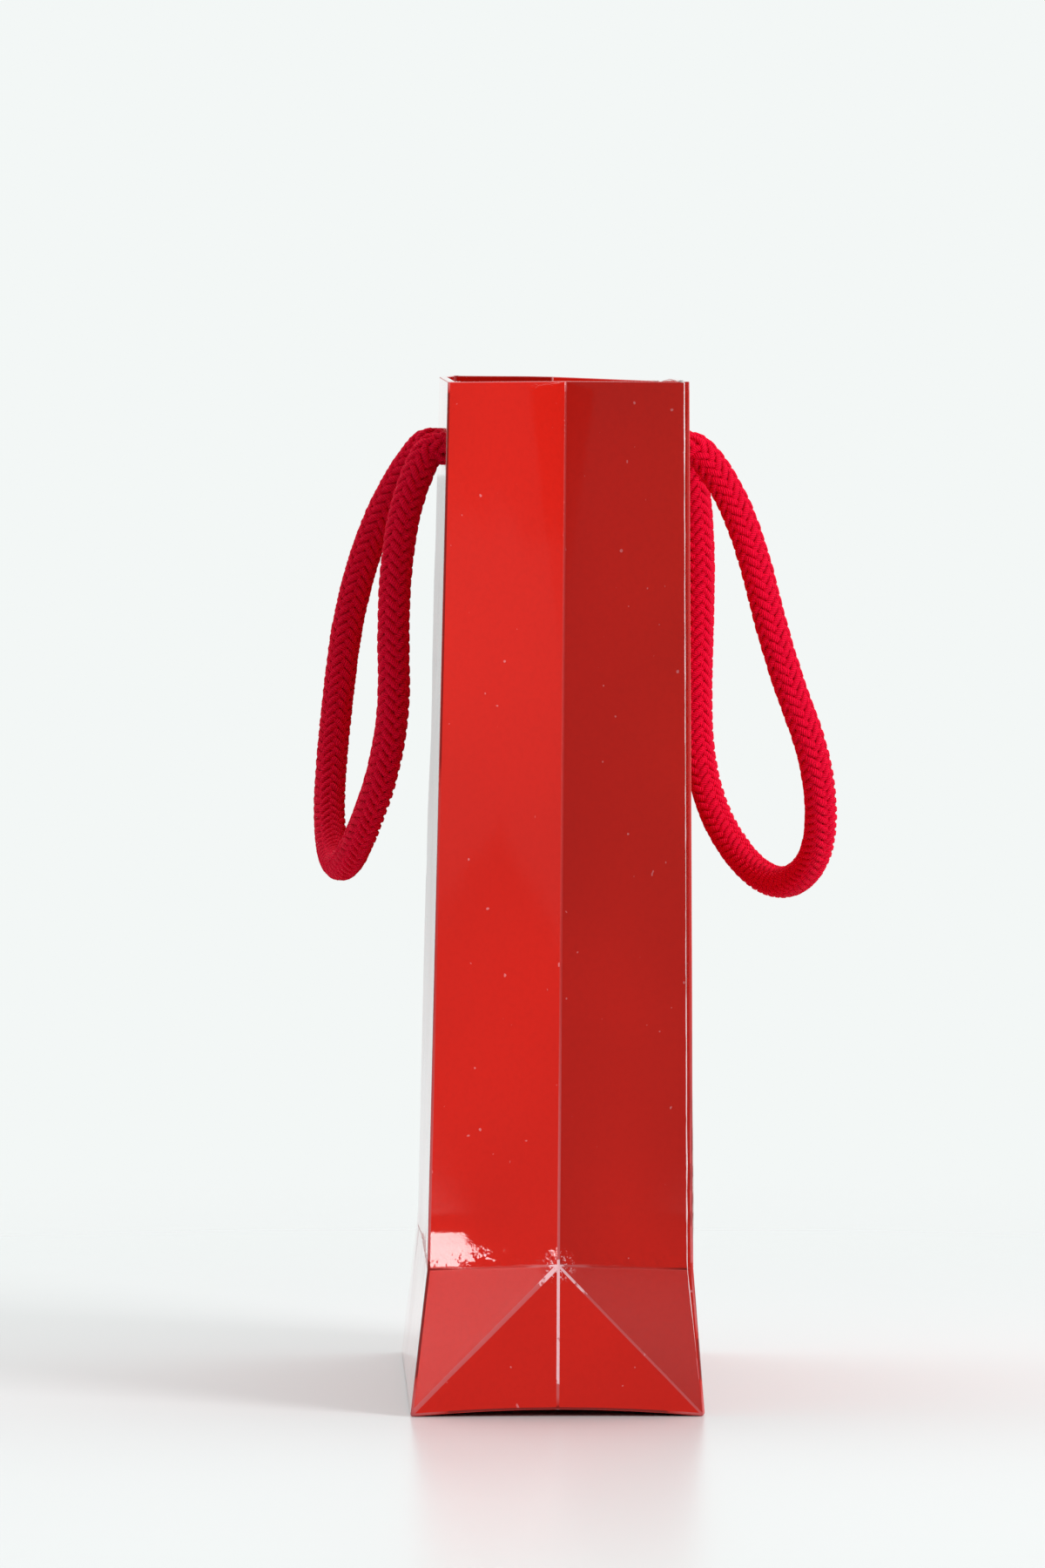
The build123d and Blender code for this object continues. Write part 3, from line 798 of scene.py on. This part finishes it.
def add_sheet_materials(piece, paper, colours):
    """Fills the slots, three for each outer face: itself, the inside and the cut core."""
    outer_faces = [laminated_red(paper, colours), worn_and_shaded_crease(colours), cut_edge(colours),
                   laminated_red(paper, colours, "seam_flap", ticks=True)]
    inside = bare_paper(colours)
    core = raw_core(colours)
    for outer in outer_faces:
        for material in (outer, inside, core):
            piece.data.materials.append(material)


def lay_out(sheet, grid):
    """Moves a flat grid's points to the sheet's, and gives them by (row, column)."""
    order = sorted(sheet.verts, key=lambda vertex: (round(vertex.co.y, 4), vertex.co.x))
    places = {}
    for number, vertex in enumerate(order):
        row, column = divmod(number, CUT_EDGE + 1)
        places[row, column] = vertex
        vertex.co = grid[row][column]
    return places


def paint_seam(sheet, places):
    """Gives the faces at the cut edge and on the glue flap their own slots."""
    for face in sheet.faces:
        columns_here = {column for (_, column), vertex in places.items() if vertex in face.verts}
        if CUT_EDGE in columns_here:
            face.material_index = EDGE_SLOT
        elif FLAP_END in columns_here:
            face.material_index = FLAP_SLOT


def crease_sheet(piece, sheet, places, lines):
    """Cuts the foot's four diagonals and weighs every fold for its rounding."""
    for start, end, _ in diagonals():
        bpy.ops.mesh.select_all(action="DESELECT")
        for spot in (start, end):
            places[spot].select = True
        bmesh.update_edit_mesh(piece.data)
        bpy.ops.mesh.vert_connect()
    weights = sheet.edges.layers.float.new("bevel_weight_edge")
    for start, end, share in lines:
        fold = sheet.edges.get((places[start], places[end]))
        if fold is not None:
            fold[weights] = share


class GIFTBAG_OT_paper(bpy.types.Operator):
    """Model the bag's one folded sheet, with its seam, hem, creases and cord holes"""
    bl_idname = "giftbag.paper"
    bl_label = "Folded Paper"

    def execute(self, context):
        paper, _, colours = settings(context)
        grid = sheet_grid(paper)
        bpy.ops.object.select_all(action="DESELECT")
        bpy.ops.mesh.primitive_grid_add(
            x_subdivisions=CUT_EDGE, y_subdivisions=len(grid) - 1, size=1.0)
        piece = context.active_object
        piece.name = "folded_paper"
        piece.data.name = "folded_paper"
        add_sheet_materials(piece, paper, colours)
        bpy.ops.object.mode_set(mode="EDIT")
        sheet = bmesh.from_edit_mesh(piece.data)
        places = lay_out(sheet, grid)
        paint_seam(sheet, places)
        wall, _ = sheet_rows(paper)
        flap_in_hem = [places[row, FLAP_END] for row in range(len(wall) + 1, len(grid))]
        crease_sheet(piece, sheet, places, folds(paper))
        bmesh.ops.delete(sheet, geom=flap_in_hem, context="VERTS")
        bpy.ops.mesh.select_all(action="SELECT")
        sheet.normal_update()
        largest = max(sheet.faces, key=lambda face: face.calc_area())
        if largest.normal.y * largest.calc_center_median().y < 0:
            bpy.ops.mesh.flip_normals()
        punch_holes(paper, sheet)
        bpy.ops.object.mode_set(mode="OBJECT")
        apply_modifier(piece, "BEVEL", "folds", width=2 * paper.fold, segments=2,
                       limit_method="WEIGHT", material=CREASE_SLOT, use_clamp_overlap=False,
                       offset_type="OFFSET", loop_slide=False)
        apply_modifier(piece, "SUBSURF", "finer", subdivision_type="SIMPLE", levels=2,
                       render_levels=2)
        relax_sheet(piece, paper)
        apply_modifier(piece, "SOLIDIFY", "thickness", thickness=paper.paper, offset=-1.0,
                       use_even_offset=False, material_offset=1, material_offset_rim=2)
        wear = piece.data.attributes.new("wear", "FLOAT", "POINT")
        for vertex, value in zip(piece.data.vertices, wear.data):
            value.value = wear_at(paper, vertex.co)
        bpy.ops.object.shade_smooth_by_angle(angle=math.radians(50))
        apply_modifier(piece, "WEIGHTED_NORMAL", "even_shading", weight=80, keep_sharp=True)
        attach(piece, "root")
        replaced = ["front_panel", "back_panel", "front_hem", "back_hem", "glue_flap"]
        for half in ("right_front", "right_back", "left_back", "left_front"):
            replaced += [f"{half}_{part}" for part in
                         ("gusset", "gusset_hem", "side_triangle", "foot_triangle")]
        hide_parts(*replaced)
        return {"FINISHED"}


# ------------------------------------------------------------------ cords
# The routes of the two handles, in millimetres, from the right hole to the left one.
FRONT_ROUTE = [
    (37.5, -20.5, 196.0), (37.5, -23.4, 196.0), (37.5, -25.927, 196.0),
    (37.9, -30.6, 184.2), (38.6, -32.6, 170.5), (38.9, -33.0, 156.5), (37.6, -32.7, 142.5),
    (33.5, -34.9, 129.2), (25.5, -38.6, 118.2), (13.5, -41.6, 110.6), (0.0, -43.8, 108.0),
    (-13.5, -45.4, 110.8), (-24.5, -45.9, 119.2), (-31.8, -45.1, 131.4), (-36.0, -43.6, 144.8),
    (-38.0, -41.8, 158.6), (-38.6, -38.3, 172.3), (-37.9, -33.0, 185.2),
    (-37.5, -25.927, 196.0), (-37.5, -23.4, 196.0), (-37.5, -20.5, 196.0),
]
BACK_ROUTE = [
    (37.5, 24.6, 196.0), (37.5, 27.5, 196.0), (37.5, 30.07, 196.0),
    (37.7, 36.7, 186.2), (38.1, 41.2, 174.0), (38.3, 44.4, 160.6), (37.6, 48.5, 147.2),
    (34.4, 53.6, 134.0), (27.0, 55.9, 121.4), (16.0, 55.2, 110.8), (4.0, 50.6, 104.6),
    (-8.0, 44.8, 105.2), (-19.0, 39.4, 110.8), (-28.0, 34.8, 119.4), (-33.8, 32.3, 130.8),
    (-36.9, 32.0, 144.0), (-38.2, 32.5, 157.6), (-38.4, 32.8, 171.2), (-37.9, 32.0, 184.4),
    (-37.5, 30.07, 196.0), (-37.5, 27.5, 196.0), (-37.5, 24.6, 196.0),
]
# An overhand knot, in millimetres: along the panel, upwards, and into the bag from its face.
KNOT_ROUTE = [
    (0, 0, 1.5), (0, 0, 5), (0.5, 2.5, 9), (4.5, 3.8, 11), (6, -0.8, 8.8), (3.2, -5.2, 6.4),
    (-3.4, -4.8, 5), (-6, 0.5, 6.2), (-3.2, 4.8, 8.4), (1.6, 2, 11.8), (1.6, -4.6, 13),
    (0.9, -11, 13.4), (0.3, -17, 14.4),
]
# Between a cord's side and the panel or the knot beside it.
CORD_GAP = 0.3 * MM


def spline_points(route, step):
    """Points at even steps along the smooth spline of a route in metres."""
    curve = bpy.data.curves.new("route", "CURVE")
    curve.dimensions = "3D"
    curve.resolution_u = 24
    spline = curve.splines.new("NURBS")
    spline.points.add(len(route) - 1)
    for point, place in zip(spline.points, route):
        point.co = (*place, 1.0)
    spline.order_u = 3
    spline.use_endpoint_u = True
    holder = bpy.data.objects.new("route", curve)
    bpy.context.scene.collection.objects.link(holder)
    mesh = bpy.data.meshes.new_from_object(holder)
    fine = [vertex.co.copy() for vertex in mesh.vertices]
    bpy.data.objects.remove(holder)
    bpy.data.meshes.remove(mesh)
    bpy.data.curves.remove(curve)
    lengths = [0.0]
    for before, after in zip(fine, fine[1:]):
        lengths.append(lengths[-1] + (after - before).length)
    count = max(2, round(lengths[-1] / step))
    points = []
    index = 0
    for number in range(count + 1):
        reach = lengths[-1] * number / count
        while index < len(fine) - 2 and lengths[index + 1] < reach:
            index += 1
        run = lengths[index + 1] - lengths[index]
        share = 0.0 if run == 0 else (reach - lengths[index]) / run
        points.append(fine[index].lerp(fine[index + 1], min(1.0, share)))
    return points


def line_frames(points):
    """At each point the line's direction and two directions across it, without twist."""
    directions = []
    for number in range(len(points)):
        before = points[max(0, number - 1)]
        after = points[min(len(points) - 1, number + 1)]
        directions.append((after - before).normalized())
    across = directions[0].orthogonal().normalized()
    found = []
    previous = directions[0]
    for direction in directions:
        across = previous.rotation_difference(direction) @ across
        across = (across - direction * across.dot(direction)).normalized()
        found.append((direction, across, direction.cross(across)))
        previous = direction
    return found


class Braid:
    """A round cord of strands that cross over two and under two, along a line."""

    FULLNESS = 1.1
    STRAND_SIDES = 6
    CORE_SIDES = 10
    # Shares of the braid's radius: the core, the strands' middle line and half their depth,
    # and where the loose fibres root
    CORE = 0.66
    MIDDLE = 0.80
    HALF_DEPTH = 0.165
    SKIN = 0.93
    # How far a strand rises and dips at its crossings, and how far it strays, as shares too
    RISE = 0.085
    STRAY = 0.012
    # A strand's width, as a share of the room that it has beside the next
    STRAND_WIDTH = 0.74
    # Metres that the layout counts for each side of a tube
    SIDE_WIDTH = 0.4 * MM

    def __init__(self, points, diameter, cord, fibres, seed):
        self.points = points
        self.frames = line_frames(points)
        self.step = (points[1] - points[0]).length
        self.radius = diameter / 2 * self.FULLNESS
        self.cord = cord
        self.random = random.Random(seed)
        self.vertices = []
        self.faces = []
        self.layout = []
        self.add_core()
        for number in range(cord.strands):
            for way in (1, -1):
                self.add_strand(number, way)
        for _ in range(fibres):
            self.add_fibre()

    def point(self, index, angle, reach):
        """The place beside the line at an angle round it."""
        _, across, up = self.frames[index]
        return self.points[index] + (across * math.cos(angle) + up * math.sin(angle)) * reach

    def add_tube(self, rings, places_along):
        """Closed tube through rings of points, with both ends capped."""
        first = len(self.vertices)
        sides = len(rings[0])
        for ring in rings:
            self.vertices += ring
        for row in range(len(rings) - 1):
            for side in range(sides):
                corners = [first + (row + up) * sides + (side + over) % sides
                           for up, over in ((0, 0), (0, 1), (1, 1), (1, 0))]
                self.faces.append(corners)
                for up, over in ((0, 0), (0, 1), (1, 1), (1, 0)):
                    self.layout += [places_along[row + up], (side + over) * self.SIDE_WIDTH]
        last = first + (len(rings) - 1) * sides
        self.faces.append([first + side for side in reversed(range(sides))])
        self.faces.append([last + side for side in range(sides)])
        self.layout += [places_along[0], 0.0] * sides
        self.layout += [places_along[-1], 0.0] * sides

    def add_core(self):
        """The dark filling under the strands."""
        rings = []
        indices = range(0, len(self.points), 4)
        for index in indices:
            reach = self.radius * self.CORE
            rings.append([self.point(index, math.tau * side / self.CORE_SIDES, reach)
                          for side in range(self.CORE_SIDES)])
        self.add_tube(rings, [index * self.step for index in indices])

    def add_strand(self, number, way):
        """One strand, wound one way, that rises and dips with its crossings."""
        turn = way * math.tau / self.cord.lead
        begin = math.tau * number / self.cord.strands
        wobble = self.random.uniform(0, math.tau)
        centres = []
        radials = []
        for index in range(len(self.points)):
            reach_along = index * self.step
            angle = begin + turn * reach_along
            crossing = math.cos(self.cord.strands / 2 * angle - math.pi / 4)
            lift = way * max(-0.85, min(0.85, crossing * 1.5)) * self.RISE
            uneven = self.STRAY * math.sin(reach_along / (7 * MM) + wobble)
            reach = self.radius * (self.MIDDLE + lift + uneven)
            centres.append(self.point(index, angle, reach))
            radials.append((centres[-1] - self.points[index]).normalized())
        rings = []
        half_width = math.pi * self.radius * self.MIDDLE / self.cord.strands * self.STRAND_WIDTH
        half_depth = self.radius * self.HALF_DEPTH
        for index, (centre, radial) in enumerate(zip(centres, radials)):
            ahead = centres[min(len(centres) - 1, index + 1)]
            behind = centres[max(0, index - 1)]
            direction = (ahead - behind).normalized()
            side_way = direction.cross(radial).normalized()
            ring = []
            for side in range(self.STRAND_SIDES):
                angle = math.tau * side / self.STRAND_SIDES
                ring.append(centre + side_way * math.cos(angle) * half_width
                            + direction.cross(side_way) * math.sin(angle) * half_depth)
            rings.append(ring)
        offset = self.random.uniform(0, 40 * MM)
        self.add_tube(rings, [offset + index * self.step for index in range(len(rings))])

    def add_fibre(self):
        """A loose fibre that curls off the surface."""
        index = self.random.randrange(2, len(self.points) - 2)
        angle = self.random.uniform(0, math.tau)
        direction, _, _ = self.frames[index]
        root = self.point(index, angle, self.radius * self.SKIN)
        radial = (root - self.points[index]).normalized()
        side_way = direction.cross(radial)
        lean = direction * self.random.uniform(-1, 1) + side_way * self.random.uniform(-1, 1)
        size = self.random.uniform(0.35, 1.1) * MM
        middle = root + (radial * 0.55 + lean * 0.6) * size * 0.55
        tip = middle + (radial * self.random.uniform(-0.3, 0.35) + lean) * size * 0.5
        rings = []
        for centre, thickness in ((root, 0.035 * MM), (middle, 0.028 * MM), (tip, 0.012 * MM)):
            rings.append([centre + (direction * math.cos(turn) + side_way * math.sin(turn)) * thickness
                          for turn in (0, math.tau / 3, math.tau * 2 / 3)])
        self.add_tube(rings, [0.0, size / 2, size])

    def build(self, name, material):
        """The finished mesh object."""
        piece = mesh_piece(name, self.vertices, self.faces, [material])
        layer = piece.data.uv_layers.new(name="strand")
        layer.data.foreach_set("uv", self.layout)
        select_only(piece)
        bpy.ops.object.mode_set(mode="EDIT")
        bpy.ops.mesh.select_all(action="SELECT")
        bpy.ops.mesh.normals_make_consistent(inside=False)
        bpy.ops.object.mode_set(mode="OBJECT")
        return piece


BRAID_STEP = 0.6 * MM
# A knot is pulled tight, so its cord is thinner than the handle's.
KNOT_TIGHTNESS = 0.86
KNOT_FIBRES = 260
KNOT_SEED, HANDLE_SEED = 31, 11
# name: route, pivot, and which way along Y leads into the bag
HANDLES = {"front": (FRONT_ROUTE, FRONT_PIVOT, 1), "back": (BACK_ROUTE, BACK_PIVOT, -1)}


class GIFTBAG_OT_knots(bpy.types.Operator):
    """Tie the four overhand knots that hold the cords inside the bag"""
    bl_idname = "giftbag.knots"
    bl_label = "Knots"

    def execute(self, context):
        _, cord, colours = settings(context)
        yarn = bpy.data.materials.get("braided_yarn") or braided_yarn(colours)
        for side, (route, pivot, inward) in HANDLES.items():
            face = pivot.y + inward * (cord.diameter / 2 + CORD_GAP)
            for number, (hand, end) in enumerate((("right", route[0]), ("left", route[-1]))):
                mirror = inward if hand == "right" else -inward
                line = [(end[0] * MM + mirror * u * MM, face + inward * w * MM, end[2] * MM + v * MM)
                        for u, v, w in KNOT_ROUTE]
                points = spline_points(line, BRAID_STEP)
                braid = Braid(points, cord.diameter * KNOT_TIGHTNESS, cord, KNOT_FIBRES,
                              KNOT_SEED + number)
                knot = braid.build(f"{side}_{hand}_tied_knot", yarn)
                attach(knot, "root")
                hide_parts(f"{side}_{hand}_knot")
        return {"FINISHED"}


class GIFTBAG_OT_handles(bpy.types.Operator):
    """Braid the two cord handles along their routes"""
    bl_idname = "giftbag.handles"
    bl_label = "Cord Handles"

    def execute(self, context):
        _, cord, colours = settings(context)
        yarn = bpy.data.materials.get("braided_yarn") or braided_yarn(colours)
        for number, (side, (route, pivot, inward)) in enumerate(HANDLES.items()):
            points = spline_points([Vector(place) * MM for place in route], BRAID_STEP)
            braid = Braid(points, cord.diameter, cord, cord.fibres, HANDLE_SEED + number)
            handle = braid.build(f"{side}_braided_handle", yarn)
            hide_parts(f"{side}_cord_handle")
            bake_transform(handle)
        return {"FINISHED"}


# ------------------------------------------------------------------ boards
# Cuts across each triangle of a flat board, so that it can bend.
BOARD_CUTS = 10
# Points of a board's mesh that are this close are one point.
SAME_POINT = 0.002 * MM


def shaped_copy(paper, node, name, material):
    """A finer copy of a flat board or flap, bent as the handled bag bends it."""
    mesh = frame["nodes"][node].data.copy()
    mesh.name = name
    mesh.materials.clear()
    mesh.materials.append(material)
    piece = bpy.data.objects.new(name, mesh)
    bpy.context.scene.collection.objects.link(piece)
    select_only(piece)
    bpy.ops.mesh.customdata_custom_splitnormals_clear()
    bpy.ops.object.mode_set(mode="EDIT")
    bpy.ops.mesh.select_all(action="SELECT")
    bpy.ops.mesh.remove_doubles(threshold=SAME_POINT)
    bpy.ops.mesh.subdivide(number_cuts=BOARD_CUTS)
    bpy.ops.object.mode_set(mode="OBJECT")
    for vertex in mesh.vertices:
        vertex.co = handled(paper, vertex.co)
    bpy.ops.object.shade_smooth_by_angle(angle=math.radians(30))
    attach(piece, "root")
    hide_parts(node)
    return piece


class GIFTBAG_OT_boards(bpy.types.Operator):
    """Finish the base board, the cards in the hems and the bottom flaps"""
    bl_idname = "giftbag.boards"
    bl_label = "Boards and Flaps"

    def execute(self, context):
        paper, _, colours = settings(context)
        board = grey_board(colours)
        shaped_copy(paper, "base_board", "bottom_board", board)
        shaped_copy(paper, "front_card", "front_hem_card", board)
        shaped_copy(paper, "back_card", "back_hem_card", board)
        flap = laminated_red(paper, colours, "bottom_flap_red")
        for place in ("front", "back", "right", "left"):
            shaped_copy(paper, f"{place}_bottom_flap", f"{place}_folded_flap", flap)
        return {"FINISHED"}


# ------------------------------------------------------------------ stage
# The point that the lights face, half way up the bag.
AIM = Vector((0.0, 0.0, 0.1))
TABLE_WIDTH = 24.0
CAMERA_PLACE = (2.555, -0.060, 0.232)
CAMERA_DIRECTION = Vector((-1.0, 0.0213, -0.0417))
CAMERA_LENS = 281.4
# name: degrees round from the right gusset, degrees up, distance from the aim in metres,
# width and height in metres, and watts for each square metre and steradian
SOFT_LIGHTS = {
    "key_soft_box": (46, 24, 2.4, 0.93, 0.93, 14.0),
    "window_panel": (57, 4, 2.4, 0.58, 0.85, 0.13),
    "top_soft_box": (180, 88, 1.9, 2.0, 2.0, 1.4),
    "left_soft_box": (-100, 15, 2.2, 1.0, 1.0, 0.6),
}


def add_soft_light(name, round_angle, up_angle, reach, width, height, brightness):
    """A soft box that faces the aim."""
    lamp = bpy.data.lights.new(name, "AREA")
    lamp.shape = "RECTANGLE"
    lamp.size = width
    lamp.size_y = height
    lamp.energy = brightness * math.pi * width * height
    holder = bpy.data.objects.new(name, lamp)
    toward = Matrix.Rotation(math.radians(round_angle), 3, "Z")
    toward = toward @ Matrix.Rotation(-math.radians(up_angle), 3, "Y") @ Vector((1, 0, 0))
    holder.location = AIM + toward * reach
    holder.rotation_euler = (-toward).to_track_quat("-Z", "Y").to_euler()
    bpy.context.scene.collection.objects.link(holder)


class GIFTBAG_OT_stage(bpy.types.Operator):
    """Set the table, the soft lights and the camera"""
    bl_idname = "giftbag.stage"
    bl_label = "Stage"

    def execute(self, context):
        _, _, colours = settings(context)
        bpy.ops.object.select_all(action="DESELECT")
        bpy.ops.mesh.primitive_plane_add(size=TABLE_WIDTH)
        table = context.active_object
        table.name = "table_top"
        table.data.materials.append(table_top(colours))
        for name, setting in SOFT_LIGHTS.items():
            add_soft_light(name, *setting)
        context.scene.world = studio_world()
        bpy.ops.object.camera_add(location=CAMERA_PLACE)
        camera = context.active_object
        camera.name = "camera"
        camera.data.lens = CAMERA_LENS
        camera.data.sensor_width = 36.0
        camera.data.clip_end = 100.0
        camera.rotation_euler = CAMERA_DIRECTION.to_track_quat("-Z", "Y").to_euler()
        context.scene.camera = camera
        context.scene.view_settings.view_transform = "Standard"
        return {"FINISHED"}


class GIFTBAG_PT_sidebar(bpy.types.Panel):
    """Lists the steps of the bag's making"""
    bl_idname = "GIFTBAG_PT_sidebar"
    bl_label = "Gift Bag"
    bl_space_type = "VIEW_3D"
    bl_region_type = "UI"
    bl_category = "Gift Bag"

    def draw(self, context):
        for group in settings(context):
            box = self.layout.box()
            for name in group.bl_rna.properties.keys():
                if name not in ("name", "rna_type"):
                    box.prop(group, name)
        for step in STEPS:
            self.layout.operator(step.bl_idname)


STEPS = (
    GIFTBAG_OT_stage,
    GIFTBAG_OT_knots,
    GIFTBAG_OT_handles,
    GIFTBAG_OT_paper,
    GIFTBAG_OT_boards,
)
CLASSES = (PaperSizes, CordSizes, BagColours, *STEPS, GIFTBAG_PT_sidebar)


def register():
    """Register the classes and the scene's settings."""
    for item in CLASSES:
        bpy.utils.register_class(item)
    bpy.types.Scene.bag_paper = bpy.props.PointerProperty(type=PaperSizes)
    bpy.types.Scene.bag_cord = bpy.props.PointerProperty(type=CordSizes)
    bpy.types.Scene.bag_colours = bpy.props.PointerProperty(type=BagColours)


def unregister():
    """Remove the scene's settings and the classes."""
    del bpy.types.Scene.bag_paper
    del bpy.types.Scene.bag_cord
    del bpy.types.Scene.bag_colours
    for item in reversed(CLASSES):
        bpy.utils.unregister_class(item)


def main():
    """Make the bag step by step."""
    register()
    bpy.ops.giftbag.stage()
    bpy.ops.giftbag.knots()
    bpy.ops.giftbag.handles()
    bpy.ops.giftbag.paper()
    bpy.ops.giftbag.boards()


if __name__ == "__main__":
    main()
